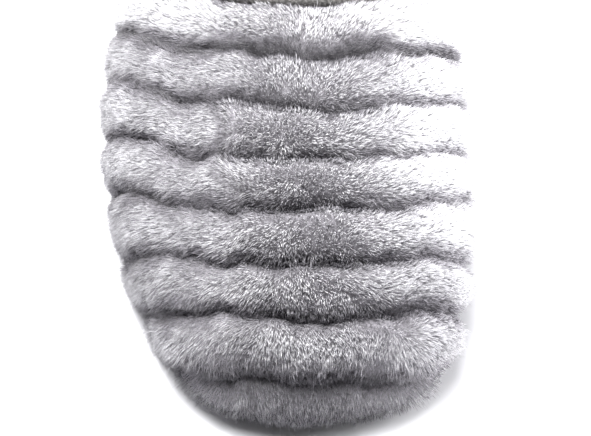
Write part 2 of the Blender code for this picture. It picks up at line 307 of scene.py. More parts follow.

# From the throat to the toe's hem: the share of its tone that the pile keeps in the
# painted shade of each groove, and a painted light or shade on each rib, as a factor on
# the tone halfway along it. The first of these factors stands half a rib before the throat.
GROOVE_PAINTED_SHADE = (0.1, 0.0, 0.0, 0.1, 0.2, 0.28, 0.32, 0.26, 0.22, 0.2)
RIB_PAINTED_LIGHT = (1.0, 1.55, 1.8, 1.08, 1.22, 1.22, 1.1, 1.02, 1.1, 0.82)
INNER_GROOVE_PAINTED_LIGHT = 0.14      # painted light: lighter grooves on the inner side
GROOVE_EVEN = 0.6             # less so towards the toe
OUTER_PAINTED_SHADE = 0.16             # painted shade: darker outer side
OUTER_EVEN = 0.9              # less so towards the toe
INNER_PAINTED_SHADE = 0.22             # painted shade: darker inner side towards the toe
TOE_PAINTED_LIGHT = 1.5             # turned round into painted light on the toe's rib

# Shade in each rib, in shares of the way between its grooves: how far it reaches from
# the groove behind, and where it starts and is full before the groove ahead, counted
# back from there. One number for each rib.
SHADE_BEHIND = (0.3, 0.3, 0.45, 0.3, 0.3, 0.3, 0.3, 0.3, 0.3)
SHADE_AHEAD = (0.38, 0.38, 0.38, 0.38, 0.48, 0.48, 0.48, 0.58, 0.48)
SHADE_FULL = (0.02, 0.02, 0.02, 0.02, 0.06, 0.06, 0.06, 0.08, 0.06)
OUTER_BEHIND = 0.04           # further on the outer side
INNER_AHEAD = 0.1             # shorter at the inner rim
OUTER_AHEAD = 0.08            # shorter at the outer rim
DEEP_AHEAD = 0.05             # further in the two ribs next to the throat
DEEP_FULL = 0.11
LOCK_LIGHT = 0.12             # full locks reach out of the shade
PARTING_DARK = 0.85           # share of light lost in a parting
TOE_DARK = 0.45               # and towards the toe's hem
GROUND_IN_PARTING = 0.9       # share of light that the ground loses in a parting
GROUND_IN_MIDDLE = 0.6        # and over the middle of the foot

# Where the strands lie in their map: how far off its edges, and how far to each side of
# their own column
UV_EDGE = 0.01
STRAND_UV = 0.004

# The throat's tape and its stitches, in mm. The herringbone is a corded surface, whose
# slanting ribs turn back at every quarter of the way round.
PATH_POINTS = 721
SMOOTHINGS = 2700
TAPE_RINGS = 620
TAPE_SIDES = 20
TAPE_INSET = 0.22
HERRINGBONE_PITCH = 1.5
HERRINGBONE_SLANT = 2.2       # pitches along the tape for a quarter of the way round
HERRINGBONE_DEPTH = 0.16
STITCH_RINGS = 3
STITCH_SIDES = 6
STITCH_LENGTH = 2.4
STITCH_RADIUS = 0.32
STITCH_SUNK = 0.12
STITCH_TURNED = 0.55          # share of outwards in the side that the stitches are on

# The footbed, in mm
PAD_SHRINK = 0.25             # how much smaller the pad starts, before it is filled
PAD_PRESSURE = 4.0            # force of the cloth simulation, and its steps
PAD_STEPS = 20
PAD_SIDE_SWELL = 0.15
FLEECE_UPWARD = 0.3           # how far upwards the pad faces where fleece grows
FLEECE_FRONT = -75.0          # where it stops, well inside the vamp
FLEECE_SUNK = 0.3
FLEECE_CURL = 0.9             # lean over height, in waves
FLEECE_LEAN = 0.5             # and by chance
FLEECE_LENGTHS = (0.7, 0.5)   # shares: the least, and the chance on top of it
FLEECE_WIDTHS = (0.7, 0.6)
FLEECE_TONES = (0.45, 0.3)
FLEECE_TONE_WAVE = 0.2
FLEECE_SHADES = (0.5, 0.68, 0.92, 1.0)
FLEECE_CURL_WAVES = (5.0, 31)
FLEECE_TONE_WAVES = (7.0, 32)
FLEECE_SEED = 7

# The stage, in metres, with the camera's angles in degrees, its lens and sensor in mm,
# and for each light the setting of its power, its place and its width
FLOOR_RADIUS = 6.0
FLOOR_CORNERS = 64
LIGHTS = (
    ("key_light", "key_power", (-0.4, 0.4, 1.35), 0.6),
    ("side_light", "side_power", (1.25, 0.2, 0.35), 0.7),
    ("overhead_light", "overhead_power", (-0.27, 0.0, 1.6), 1.3),
)
AIM = (0.004, -0.0715, 0.0374)
CAMERA_RAISED = 44.0
CAMERA_TURNED = 1.5
CAMERA_DISTANCE = 0.85
CAMERA_REACH = 20.0
LENS = 176.0
SENSOR_WIDTH = 36.0

# Three square directions that stand askew to the shoe, for the lattice of the noises
LATTICE_TURN = np.linalg.qr(np.array(((1.0, 0.7, 0.3), (-0.6, 1.0, 0.5), (0.2, -0.8, 1.0))))[0]


def linear(code):
    """Linear colour from an sRGB hex code."""
    shares = np.array([int(code[place:place + 2], 16) for place in (1, 3, 5)]) / 255.0
    straight = np.where(shares <= 0.04045, shares / 12.92, ((shares + 0.055) / 1.055) ** 2.4)
    return tuple(float(value) for value in straight)


def smooth(place, knots, values):
    """Cubic Hermite curve through the values, with slopes from their neighbours."""
    place = np.clip(place, knots[0], knots[-1])
    gap = np.diff(knots)
    rise = np.diff(values) / gap
    slope = np.empty(len(knots))
    slope[1:-1] = (rise[:-1] * gap[1:] + rise[1:] * gap[:-1]) / (gap[1:] + gap[:-1])
    slope[0] = rise[0]
    slope[-1] = rise[-1]
    index = np.clip(np.searchsorted(knots, place, side="right") - 1, 0, len(gap) - 1)
    t = (place - knots[index]) / gap[index]
    start = (2 * t**3 - 3 * t**2 + 1) * values[index] + (t**3 - 2 * t**2 + t) * gap[index] * slope[index]
    end = (3 * t**2 - 2 * t**3) * values[index + 1] + (t**3 - t**2) * gap[index] * slope[index + 1]
    return start + end


def ease(place, start, end):
    """Rise from 0 to 1 between two places, level at both."""
    t = np.clip((place - start) / (end - start), 0.0, 1.0)
    return t * t * (3.0 - 2.0 * t)


def turn(station):
    """Angle that makes the last's toe and heel ends round: station = L (1 - cos) / 2."""
    return np.arccos(np.clip(1.0 - 2.0 * np.asarray(station) / LAST_LENGTH, -1.0, 1.0))


def last_column(name, station):
    """One column of the last's table at any station."""
    return smooth(turn(station), turn(LAST_ROWS[:, 0]), LAST_ROWS[:, LAST_COLUMNS.index(name)])


def rib_column(name, rib):
    """One column of the rib table. Rib 0 is the throat edge, RIB_COUNT the toe's hem."""
    return smooth(rib, np.arange(RIB_COUNT + 1.0), RIB_ROWS[:, RIB_COLUMNS.index(name)])


def last_field(x, station, height):
    """Negative inside the last: squared distance from the instep line, less the
    squared half width at that height.
    """
    behind = np.abs(station)
    sign = np.where(station < 0.0, -1.0, 1.0)
    ridge = last_column("ridge", behind)
    side = last_column("side", behind)
    flare = last_column("flare", behind)
    top = last_column("top", behind)
    edge = np.where(x < ridge, ridge - last_column("lateral", behind), last_column("medial", behind) - ridge)
    half = sign * (edge + flare * ease(height, FEATHER_HEIGHT, side)) ** 2
    rise = sign * np.maximum(top - side, 1e-6) ** 2
    over = np.maximum(height - side, 0.0) ** 2
    return (x - ridge) ** 2 - half * (1.0 - over / rise)


def rib_sheet(rib, height):
    """Station of a rib's curved cutting sheet at a height: it leans back as it falls."""
    fall = rib_column("height", rib) - height
    lean = SWEEP_DEPTH * (1.0 - np.exp(-fall / SWEEP_DEPTH))
    return rib_column("station", rib) + rib_column("sweep", rib) * lean


def last_point(rib, angle):
    """Where the ray at an angle from upright, in a rib's sheet, leaves the last.
    Found by halving the reach of the ray from the hem's height.
    """
    rib, angle = np.broadcast_arrays(np.asarray(rib, float), np.asarray(angle, float))
    middle = last_column("ridge", rib_column("station", rib))
    near = np.zeros(rib.shape)
    far = np.full(rib.shape, FAR_OUTSIDE)
    for _ in range(HALVINGS):
        reach = (near + far) / 2.0
        height = HEM_HEIGHT + reach * np.cos(angle)
        station = rib_sheet(rib, height)
        inside = last_field(middle + reach * np.sin(angle), station, height) < 0.0
        near = np.where(inside, reach, near)
        far = np.where(inside, far, reach)
    height = HEM_HEIGHT + near * np.cos(angle)
    return np.stack((middle + near * np.sin(angle), rib_sheet(rib, height), height), axis=-1)


def last_normal(points):
    """Outward direction on the last, from differences of its field."""
    step = FIELD_STEP
    x, station, height = np.moveaxis(points, -1, 0)
    slope = np.stack(
        (
            last_field(x + step, station, height) - last_field(x - step, station, height),
            last_field(x, station + step, height) - last_field(x, station - step, height),
            last_field(x, station, height + step) - last_field(x, station, height - step),
        ),
        axis=-1,
    )
    return unit(slope)


def unit(vectors):
    """The same directions with a length of one."""
    return vectors / np.maximum(np.linalg.norm(vectors, axis=-1, keepdims=True), 1e-9)


def flattened(vectors, normal):
    """The vectors without their part along a unit direction."""
    return vectors - normal * np.sum(vectors * normal, axis=-1, keepdims=True)


def rib_roll(rib, angle):
    """Full section of a rib, a super-ellipse: 0 in its grooves and 1 along its crest,
    which is flatter than an ellipse and falls off more steeply. The throat's rib is
    slight over the instep and full on the wings.
    """
    across = (rib - np.floor(rib)) ** RIB_SKEW
    roll = (1.0 - np.abs(2.0 * across - 1.0) ** RIB_FULLNESS) ** (1.0 / RIB_FULLNESS)
    wing = THROAT_RIB_SHARE + (1.0 - THROAT_RIB_SHARE) * ease(np.abs(angle), *THROAT_WING)
    return np.where(rib < 1.0, roll * wing, roll)


@lru_cache(maxsize=None)
def random_table(seed):
    """Fixed block of random numbers that every noise of one seed reads."""
    return np.random.default_rng(seed).random((NOISE_CELLS, NOISE_CELLS, NOISE_CELLS, 3))


def lattice(cells, seed):
    """Three random numbers for each whole cell of space."""
    wrapped = np.mod(cells, NOISE_CELLS).astype(int)
    return random_table(seed)[wrapped[..., 0], wrapped[..., 1], wrapped[..., 2]]


def drift(points, size, seed):
    """Smooth random vectors from -1 to 1: random corners of a cube lattice, eased
    between. The lattice is turned, so that its walls line up with nothing on the shoe.
    """
    place = points @ LATTICE_TURN / size
    cell = np.floor(place)
    share = place - cell
    share = share * share * (3.0 - 2.0 * share)
    total = np.zeros(points.shape)
    for corner in np.ndindex(2, 2, 2):
        weight = np.prod(np.where(np.array(corner) > 0, share, 1.0 - share), axis=-1, keepdims=True)
        total += weight * lattice(cell + corner, seed)
    return 2.0 * total - 1.0


def tuft_middle(points, size, seed):
    """Middle of the tuft each point belongs to: the nearest of points scattered one
    to a cube of the tuft's size. Also gives one random number for each tuft.
    """
    cell = np.floor(points / size)
    nearest = np.full(points.shape[:-1], np.inf)
    middle = np.zeros(points.shape)
    number = np.zeros(points.shape[:-1])
    for step in np.ndindex(3, 3, 3):
        around = cell + step - 1.0
        random = lattice(around, seed)
        candidate = (around + random) * size
        distance = np.sum((candidate - points) ** 2, axis=-1)
        closer = distance < nearest
        nearest = np.where(closer, distance, nearest)
        middle = np.where(closer[..., None], candidate, middle)
        number = np.where(closer, (random[..., 0] * 7.3 + random[..., 1] * 3.1) % 1.0, number)
    return middle, number


@lru_cache(maxsize=None)
def vamp_grid():
    """Everything the vamp's layers are laid on, on a grid of rib number and angle.

    Each groove strays by its wander, so a rib number is moved by the stray of the
    groove in front of it and behind it, in shares. The places on the last come from
    the moved rib number, the round section from the plain one.
    """
    rib = np.linspace(0.0, GRID_END, RIB_COUNT * GRID_STEPS + 1)[:, None]
    angle = np.linspace(-pi / 2, pi / 2, GRID_COLUMNS)[None, :]
    rib, angle = np.broadcast_arrays(rib, angle)
    plain = last_point(rib[::FOURTH], angle[::FOURTH])
    across = plain[..., 0] + last_normal(plain)[..., 0] * WALL_AT_CREST
    rows = np.arange(len(rib)) / FOURTH
    low = np.clip(np.floor(rows).astype(int), 0, len(across) - 2)
    share = (rows - low)[:, None]
    across = across[low] * (1.0 - share) + across[low + 1] * share
    stray = np.stack([np.interp(across, WANDER_PLACES, row) for row in GROOVE_WANDER], axis=-1)
    number = np.broadcast_to(np.arange(RIB_COUNT + 1.0), stray.shape)
    along = np.broadcast_to(across[..., None], stray.shape)
    ragged = np.stack((along, GROOVES_APART * number, 0.0 * number), axis=-1)
    stray = stray + GROOVE_RAGGED * drift(ragged, *RAGGED_WAVES)[..., 0]
    pitch = np.hypot(np.gradient(RIB_ROWS[:, 0]), np.gradient(RIB_ROWS[:, 1]))
    stray = stray / pitch
    front = np.clip(np.floor(rib).astype(int), 0, RIB_COUNT - 1)
    inside = rib - front
    before = np.take_along_axis(stray, front[..., None], -1)[..., 0]
    after = np.take_along_axis(stray, front[..., None] + 1, -1)[..., 0]
    moved = rib + before * (1.0 - inside) + after * inside
    moved = np.clip(moved, 0.0, GRID_END)
    inner = last_point(moved, angle)
    normal = last_normal(inner)
    roll = rib_roll(rib, angle)
    side = last_column("side", np.abs(inner[..., 1]))
    down = np.clip((side - inner[..., 2]) / (side - HEM_HEIGHT), 0.0, 1.0)
    tuck = (WALL_AT_CREST - (WALL_AT_CREST - WALL_AT_HEM) * down**2) / WALL_AT_CREST
    inner = inner - (0.0, MIDDLE_STATION, 0.0)
    return {"rib": rib, "angle": angle, "inner": inner, "normal": normal, "roll": roll, "tuck": tuck}


def backing_height():
    """Height of the pile's backing over the last, on the vamp's grid."""
    grid = vamp_grid()
    rise = BACKING_AT_GROOVE + (BACKING_AT_CREST - BACKING_AT_GROOVE) * grid["roll"]
    return rise * grid["tuck"]


def lifted(height):
    """The vamp's grid moved outwards from the last by a height."""
    grid = vamp_grid()
    return grid["inner"] + grid["normal"] * np.asarray(height)[..., None]


def combed(across, rib, table):
    """Lean of the pile from a comb table, in straight shares between its places."""
    rows = np.stack([np.interp(across, COMB_PLACES, row) for row in table])
    place = np.interp(rib, COMB_RIBS, np.arange(len(COMB_RIBS)))
    low = np.minimum(place.astype(int), len(COMB_RIBS) - 2)
    share = place - low
    each = np.arange(len(across))
    return rows[low, each] * (1.0 - share) + rows[low + 1, each] * share


def parted(across, rib):
    """Lean across and towards the toe that the partings add, and how near each place
    is to one of them. The push rises and falls off again with the distance from a
    parting's line, which bends as a sine and bends less towards its end.
    """
    lean = np.zeros((2, len(across)))
    near = np.zeros(len(across))
    for start, first, end, last, strength in PARTINGS:
        way = np.array((end - start, (last - first) * RIB_PITCH))
        length = np.linalg.norm(way)
        way = way / length
        off = np.stack((across - start, (rib - first) * RIB_PITCH))
        share = (way @ off) / length
        bend = PARTING_BEND * np.sin(PARTING_BENDS * share + start) * (1.0 - 0.5 * share)
        aside = (off[0] * way[1] - off[1] * way[0] + bend) / PARTING_REACH
        within = ease(share, *PARTING_ENDS) * ease(1.0 - share, *PARTING_ENDS)
        push = strength * PARTING_PUSH * aside * np.exp(-aside**2) * within
        lean += push * np.array(((way[1],), (-way[0],)))
        near = np.maximum(near, strength * np.exp(-(aside / PARTING_GAP) ** 2) * within)
    return lean, near


def cell_areas(points):
    """Area of each four-cornered cell of a grid of points, from its diagonals."""
    first = points[1:, 1:] - points[:-1, :-1]
    second = points[1:, :-1] - points[:-1, 1:]
    return np.linalg.norm(np.cross(first, second), axis=-1) / 2.0


def at(values, row, column):
    """Values of a grid between its points, in straight shares of the four round each place."""
    low_row = np.clip(row.astype(int), 0, values.shape[0] - 2)
    low_column = np.clip(column.astype(int), 0, values.shape[1] - 2)
    down = (row - low_row).reshape(row.shape + (1,) * (values.ndim - 2))
    along = (column - low_column).reshape(row.shape + (1,) * (values.ndim - 2))
    upper = values[low_row, low_column] * (1 - along) + values[low_row, low_column + 1] * along
    lower = values[low_row + 1, low_column] * (1 - along) + values[low_row + 1, low_column + 1] * along
    return upper * (1 - down) + lower * down


def chance(rng, count, low, spread):
    """Random numbers, evenly from low to low + spread."""
    return low + spread * rng.random(count)


def scattered(areas, count, rng):
    """Rows and columns of places spread evenly over a grid of areas."""
    total = np.cumsum(areas.ravel())
    wanted = (np.arange(count) + rng.random(count)) / count * total[-1]
    cell = np.minimum(np.searchsorted(total, wanted), areas.size - 1)
    row, column = np.divmod(cell, areas.shape[1])
    return row + rng.random(count), column + rng.random(count)


def add_piece(name, points, faces, material, uv=None, uv_name="OFBake"):
    """Object from whole arrays of points in mm, faces of equal corners and corner UVs."""
    mesh = bpy.data.meshes.new(name)
    mesh.vertices.add(len(points))
    mesh.vertices.foreach_set("co", (points * MM).astype(np.float32).ravel())
    mesh.loops.add(faces.size)
    mesh.loops.foreach_set("vertex_index", faces.astype(np.int32).ravel())
    mesh.polygons.add(len(faces))
    mesh.polygons.foreach_set("loop_start", np.arange(0, faces.size, faces.shape[1], dtype=np.int32))
    mesh.update(calc_edges=True)
    if uv is not None:
        layer = mesh.uv_layers.new(name=uv_name)
        layer.data.foreach_set("uv", uv.astype(np.float32).ravel())
    mesh.shade_smooth()
    mesh.materials.append(material)
    piece = bpy.data.objects.new(name, mesh)
    bpy.context.scene.collection.objects.link(piece)
    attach(piece, "root")
    return piece


def merged_copy(node, name):
    """Object with a copy of a CAD node's mesh, its doubled corners merged."""
    mesh = node.data.copy()
    work = bmesh.new()
    work.from_mesh(mesh)
    bmesh.ops.remove_doubles(work, verts=work.verts, dist=0.01 * MM)
    work.to_mesh(mesh)
    work.free()
    mesh.materials.clear()
    piece = bpy.data.objects.new(name, mesh)
    bpy.context.scene.collection.objects.link(piece)
    return piece


def made_solid(piece):
    """Give a piece the mesh that its modifiers make, and drop them."""
    graph = bpy.context.evaluated_depsgraph_get()
    mesh = bpy.data.meshes.new_from_object(piece.evaluated_get(graph))
    piece.modifiers.clear()
    piece.data = mesh


def places(mesh, kind="co"):
    """Points of a mesh in mm, or their unit normals."""
    values = np.empty(3 * len(mesh.vertices))
    mesh.vertices.foreach_get(kind, values)
    return values.reshape(-1, 3) / (MM if kind == "co" else 1.0)


def swollen(piece, pressure, side_limit, top_limit):
    """Fill a closed mesh with air in a short cloth simulation. No point moves
    further than the limit at the sides, or the larger one on top.
    """
    start = places(piece.data)
    upward = np.clip(places(piece.data, "normal")[:, 2:], 0.0, 1.0)
    cloth = piece.modifiers.new("Filling", "CLOTH")
    cloth.settings.use_pressure = True
    cloth.settings.uniform_pressure_force = pressure
    cloth.settings.effector_weights.gravity = 0.0
    cloth.point_cache.frame_start = 1
    cloth.point_cache.frame_end = PAD_STEPS
    for step in range(1, PAD_STEPS + 1):
        bpy.context.scene.frame_set(step)
    made_solid(piece)
    bpy.context.scene.frame_set(1)
    move = places(piece.data) - start
    length = np.linalg.norm(move, axis=1, keepdims=True)
    limit = side_limit + (top_limit - side_limit) * upward
    end = start + move * np.minimum(1.0, limit / np.maximum(length, 1e-6))
    piece.data.vertices.foreach_set("co", (end * MM).ravel())
    piece.data.update()


def outward_faces(points, faces):
    """The faces, turned round if they point inwards. The cones from the origin to
    their triangles add up to the volume inside, which is above zero if they don't.
    """
    corner = points[faces]
    volume = 0.0
    for last in range(2, faces.shape[1]):
        volume += np.sum(np.cross(corner[:, 0], corner[:, last - 1]) * corner[:, last])
    return faces if volume > 0.0 else faces[:, ::-1]


def closed_sheet(lower, upper):
    """Points and outward faces of the body between two grids of equal size, with its
    four rims closed.
    """
    rows, columns = lower.shape[:2]
    count = rows * columns
    index = np.arange(count).reshape(rows, columns)
    corners = (index[:-1, :-1], index[:-1, 1:], index[1:, 1:], index[1:, :-1])
    cells = np.stack(corners, axis=-1).reshape(-1, 4)
    rim = np.concatenate((index[0, :-1], index[:-1, -1], index[-1, :0:-1], index[:0:-1, 0]))
    after = np.roll(rim, -1)
    walls = np.stack((rim, after, after + count, rim + count), axis=-1)
    faces = np.concatenate((cells + count, cells[:, ::-1], walls))
    points = np.concatenate((lower.reshape(-1, 3), upper.reshape(-1, 3)))
    return points, outward_faces(points, faces)


def tube_faces(rings, sides):
    """Triangles of a closed tube: the points of its rings come first, in order, and
    then one point at each end.
    """
    count = rings * sides
    index = np.arange(count).reshape(rings, sides)
    after = np.roll(index, -1, axis=1)
    quads = np.stack((index[:-1], index[1:], after[1:], after[:-1]), axis=-1).reshape(-1, 4)
    ends = np.full(sides, count)
    start_cap = np.stack((index[0], after[0], ends), axis=-1)
    end_cap = np.stack((after[-1], index[-1], ends + 1), axis=-1)
    return np.concatenate((quads[:, (0, 1, 2)], quads[:, (0, 2, 3)], start_cap, end_cap))


def round_angles(count):
    """Angles of so many points spread evenly round a circle."""
    return np.linspace(0.0, 2.0 * pi, count, endpoint=False)


def resampled(places, length, values):
    """Points or directions along a path, read at other lengths, in straight shares."""
    return np.stack([np.interp(places, length, values[:, axis]) for axis in range(3)], axis=-1)


def strand_mesh(root, tip, upward, width, tone):
    """Closed blades of four faces: a root and a tip, and between them two points that
    stand off the straight line, upwards, by half the width. Each strand's UV is its
    tone number across and its length upwards, kept off the map's edges.
    """
    count = len(root)
    axis = unit(tip - root)
    rise = unit(flattened(upward, axis))
    side = np.cross(axis, rise) * (width / 2.0)[:, None]
    knee = root + KNEE * (tip - root) + rise * (width / 2.0)[:, None]
    points = np.stack((root, knee + side, knee - side, tip), axis=1).reshape(-1, 3)
    shape = np.array(((0, 1, 2), (3, 2, 1), (0, 3, 1), (0, 2, 3)))
    faces = (shape[None] + 4 * np.arange(count)[:, None, None]).reshape(-1, 3)
    column = UV_EDGE + (1.0 - 2.0 * UV_EDGE) * tone
    across = np.array((0.0, -STRAND_UV, STRAND_UV, 0.0))[shape][None] + column[:, None, None]
    up = np.broadcast_to(np.array((UV_EDGE, KNEE, KNEE, 1.0 - UV_EDGE))[shape][None], across.shape)
    return points, faces, np.stack((across, up), axis=-1).reshape(-1, 2)


def stitch_mesh(middle, along, outward):
    """Closed stitches: long round bodies, half a sine thick from end to end."""
    aside = np.cross(outward, along)
    share = np.linspace(0.0, 1.0, STITCH_RINGS + 2)[1:-1]
    turned = round_angles(STITCH_SIDES)
    thick = STITCH_RADIUS * np.sin(pi * share)[:, None, None]
    ring = thick * np.stack((np.cos(turned), np.sin(turned)), axis=-1)
    rings = middle[:, None, None] + (share[:, None, None] - 0.5) * STITCH_LENGTH * along[:, None, None]
    rings = rings + ring[None, ..., :1] * outward[:, None, None]
    rings = rings + ring[None, ..., 1:] * aside[:, None, None]
    count = len(middle)
    half = np.array((-0.5, 0.5))[None, :, None]
    ends = middle[:, None] + half * STITCH_LENGTH * along[:, None]
    points = np.concatenate((rings.reshape(count, -1, 3), ends), axis=1)
    faces = outward_faces(points[0] - middle[0], tube_faces(STITCH_RINGS, STITCH_SIDES))
    faces = (faces[None] + points.shape[1] * np.arange(count)[:, None, None]).reshape(-1, 3)
    return points.reshape(-1, 3), faces


def add_node(tree, kind, inputs=None, **settings):
    """Shader node with its settings, and a value or a link for each named input."""
    made = tree.nodes.new(kind)
    for key, value in settings.items():
        setattr(made, key, value)
    for key, value in (inputs or {}).items():
        if isinstance(value, bpy.types.NodeSocket):
            tree.links.new(value, made.inputs[key])
        else:
            made.inputs[key].default_value = value
    return made


def new_material(name):
    """Material with its Principled shader, whose metallic is zero."""
    material = bpy.data.materials.new(name)
    material.use_nodes = True
    return material, material.node_tree, material.node_tree.nodes["Principled BSDF"]


def shares_of(colour, *shares):
    """The colour times each share, no channel above 1."""
    return tuple(tuple(min(1.0, share * channel) for channel in colour) for share in shares)


def ramp(tree, factor, stops):
    """Colour ramp of (place, linear colour) stops."""
    made = add_node(tree, "ShaderNodeValToRGB", {"Fac": factor})
    elements = made.color_ramp.elements
    while len(elements) < len(stops):
        elements.new(0.5)
    for element, (place, colour) in zip(elements, stops):
        element.position = place
        element.color = (*colour, 1.0)
    return made.outputs["Color"]


def multiplied(tree, first, second):
    """Product of two colours. The Mix node's colour sockets go by number: 6 and 7 in,
    and 2 out.
    """
    made = add_node(tree, "ShaderNodeMix", {0: 1.0, 6: first, 7: second},
                    data_type="RGBA", blend_type="MULTIPLY")
    return made.outputs[2]


def pile_material(name, dark, shade, middle, light, shaded_root_share, sheen):
    """Faux fur or fleece of fine acrylic fibre, sheared and tumbled: matt, with a soft
    sheen, and a painted shade that darkens it towards the roots, deep in the pile. The
    tone number of each strand picks its grey.
    """
    material, tree, shader = new_material(name)
    uv = add_node(tree, "ShaderNodeUVMap", uv_map="OFBake")
    parts = add_node(tree, "ShaderNodeSeparateXYZ", {"Vector": uv.outputs["UV"]})
    tone = ramp(tree, parts.outputs["X"], ((0.0, dark), (0.25, shade), (0.7, middle), (1.0, light)))
    # painted shade deep in the pile: darkest at the roots, full colour from the knee out
    painted_shade = ramp(tree, parts.outputs["Y"], ((0.1, (shaded_root_share,) * 3), (KNEE, (1.0,) * 3)))
    # every strand has its own streaks, about a seventh of its length each
    spread = add_node(tree, "ShaderNodeVectorMath",
                      {0: uv.outputs["UV"], 1: (900.0, 14.0, 0.0)}, operation="MULTIPLY")
    streak = add_node(tree, "ShaderNodeTexNoise",
                      {"Vector": spread.outputs["Vector"], "Scale": 1.0, "Detail": 1.0})
    fleck = ramp(tree, streak.outputs["Fac"], ((0.38, (0.6,) * 3), (0.58, (1.0,) * 3)))
    colour = multiplied(tree, multiplied(tree, tone, painted_shade), fleck)
    tree.links.new(colour, shader.inputs["Base Color"])
    shader.inputs["Roughness"].default_value = 0.8
    shader.inputs["Specular IOR Level"].default_value = 0.25
    shader.inputs["Sheen Weight"].default_value = sheen
    shader.inputs["Sheen Roughness"].default_value = 0.4
    return material


def backing_material(name, colour, painted_groove_shade=False):
    """Knitted polyester backing under a pile, seen only between strands: dull, and
    darkened by a painted shade where the piece's own map says that it lies in a groove.
    """
    material, tree, shader = new_material(name)
    place = add_node(tree, "ShaderNodeTexCoord")
    # 1.2 mm flecks, about four times a real stitch, so that they show
    fleck = add_node(tree, "ShaderNodeTexNoise",
                     {"Vector": place.outputs["Object"], "Scale": 1.0 / (1.2 * MM), "Detail": 2.0})
    dull, light = shares_of(colour, 0.7, 1.2)
    shade = ramp(tree, fleck.outputs["Fac"], ((0.35, dull), (0.65, light)))
    if painted_groove_shade:
        # painted shade, from the piece's own map
        uv = add_node(tree, "ShaderNodeUVMap", uv_map="Depth")
        parts = add_node(tree, "ShaderNodeSeparateXYZ", {"Vector": uv.outputs["UV"]})
        open_to_light = ramp(tree, parts.outputs["X"], ((0.05, (0.12,) * 3), (0.6, (1.0,) * 3)))
        shade = multiplied(tree, shade, open_to_light)
    tree.links.new(shade, shader.inputs["Base Color"])
    shader.inputs["Roughness"].default_value = 0.95
    return material


def lining_material(colour):
    """Brushed tricot lining: matt knit with fine lengthwise wales and a soft nap."""
    material, tree, shader = new_material("brushed_tricot_lining")
    uv = add_node(tree, "ShaderNodeUVMap", uv_map="Cloth")
    # wales 1.6 mm apart, twice the real gauge, so that they show
    wales = add_node(tree, "ShaderNodeTexWave",
                     {"Vector": uv.outputs["UV"], "Scale": 1.0 / 1.6 / pi, "Distortion": 1.2, "Detail": 2.0,
                      "Detail Scale": 2.0}, wave_type="BANDS", bands_direction="X")
    nap = add_node(tree, "ShaderNodeTexNoise", {"Vector": uv.outputs["UV"], "Scale": 1.4, "Detail": 4.0})
    dull, light = shares_of(colour, 0.72, 1.12)
    shade = ramp(tree, nap.outputs["Fac"], ((0.3, dull), (0.7, light)))
    tree.links.new(shade, shader.inputs["Base Color"])
    height = add_node(tree, "ShaderNodeMath",
                      {0: wales.outputs["Fac"], 1: nap.outputs["Fac"]}, operation="ADD")
    bump = add_node(tree, "ShaderNodeBump",
                    {"Height": height.outputs["Value"], "Strength": 0.6, "Distance": 0.4 * MM})
    tree.links.new(bump.outputs["Normal"], shader.inputs["Normal"])
    shader.inputs["Roughness"].default_value = 0.9
    shader.inputs["Sheen Weight"].default_value = 0.2
    return material


def tape_material(colour):
    """Herringbone twill tape of spun cotton: matt, with light and dark threads."""
    material, tree, shader = new_material("cotton_twill_tape")
    uv = add_node(tree, "ShaderNodeUVMap", uv_map="Cloth")
    fleck = add_node(tree, "ShaderNodeTexNoise",
                     {"Vector": uv.outputs["UV"], "Scale": 1.1, "Detail": 3.0, "Roughness": 0.7})
    dark, light = shares_of(colour, 0.45, 1.7)
    shade = ramp(tree, fleck.outputs["Fac"], ((0.36, dark), (0.5, colour), (0.64, light)))
    tree.links.new(shade, shader.inputs["Base Color"])
    bump = add_node(tree, "ShaderNodeBump",
                    {"Height": fleck.outputs["Fac"], "Strength": 0.5, "Distance": 0.3 * MM})
    tree.links.new(bump.outputs["Normal"], shader.inputs["Normal"])
    shader.inputs["Roughness"].default_value = 0.9
    shader.inputs["Sheen Weight"].default_value = 0.15
    return material


def thread_material(colour):
    """Bonded polyester sewing thread: twisted plies with a slight shine."""
    material, tree, shader = new_material("bonded_polyester_thread")
    place = add_node(tree, "ShaderNodeTexCoord")
    plies = add_node(tree, "ShaderNodeTexNoise",
                     {"Vector": place.outputs["Object"], "Scale": 1.0 / (0.7 * MM), "Detail": 1.0})
    dull = shares_of(colour, 0.7)[0]
    shade = ramp(tree, plies.outputs["Fac"], ((0.3, dull), (0.7, colour)))
    tree.links.new(shade, shader.inputs["Base Color"])
    shader.inputs["Roughness"].default_value = 0.55
    return material


def sole_material(colour):
    """Foamed TPR sole, moulded against an etched tool: matt, with a fine pebbled skin."""
    material, tree, shader = new_material("moulded_foam_rubber")
    place = add_node(tree, "ShaderNodeTexCoord")
    # pebbles 1.1 mm across
    pebble = add_node(tree, "ShaderNodeTexVoronoi",
                      {"Vector": place.outputs["Object"], "Scale": 1.0 / (1.1 * MM)}, feature="SMOOTH_F1")
    dust = add_node(tree, "ShaderNodeTexNoise",
                    {"Vector": place.outputs["Object"], "Scale": 1.0 / (9.0 * MM), "Detail": 5.0})
    clean, dusty = shares_of(colour, 0.8, 1.35)
    shade = ramp(tree, dust.outputs["Fac"], ((0.3, clean), (0.72, dusty)))
    tree.links.new(shade, shader.inputs["Base Color"])
    worn = add_node(tree, "ShaderNodeMapRange",
                    {"Value": dust.outputs["Fac"], "To Min": 0.55, "To Max": 0.75})
    tree.links.new(worn.outputs["Result"], shader.inputs["Roughness"])
    bump = add_node(tree, "ShaderNodeBump",
                    {"Height": pebble.outputs["Distance"], "Strength": 0.35, "Distance": 0.25 * MM})
    tree.links.new(bump.outputs["Normal"], shader.inputs["Normal"])
    return material


def over_middle(across):
    """1 over the middle of the foot, easing to 0 on both sides of it."""
    return ease(across, *MIDDLE_START) * (1.0 - ease(across, *MIDDLE_END))


